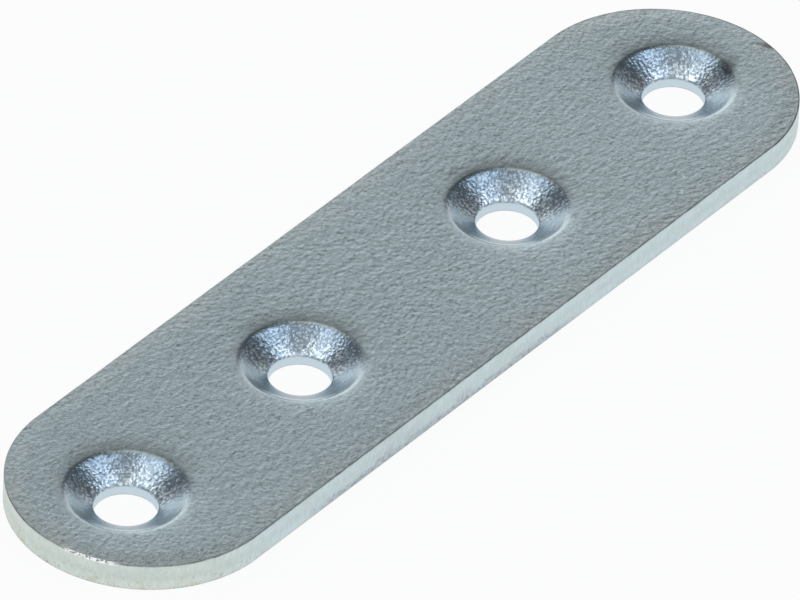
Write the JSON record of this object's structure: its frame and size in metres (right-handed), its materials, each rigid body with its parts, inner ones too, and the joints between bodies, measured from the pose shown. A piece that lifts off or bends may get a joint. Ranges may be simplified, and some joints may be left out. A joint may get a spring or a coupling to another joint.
{
  "type": "mending plate",
  "caption": "Flat zinc-plated steel mending plate with half-round ends and a row of countersunk screw holes, for joining wood.",
  "frame": {"origin": "middle of the back face, which lies on the work, at z = 0", "axes": "+X along the plate, +Y across it, +Z out of the face that has the countersinks"},
  "size_m": [0.075, 0.019, 0.0021],
  "materials": {
    "zinc_plated_steel": "matte zinc plating"
  },
  "bodies": {
    "root": {"plate": "zinc_plated_steel"}
  },
  "joints": []
}
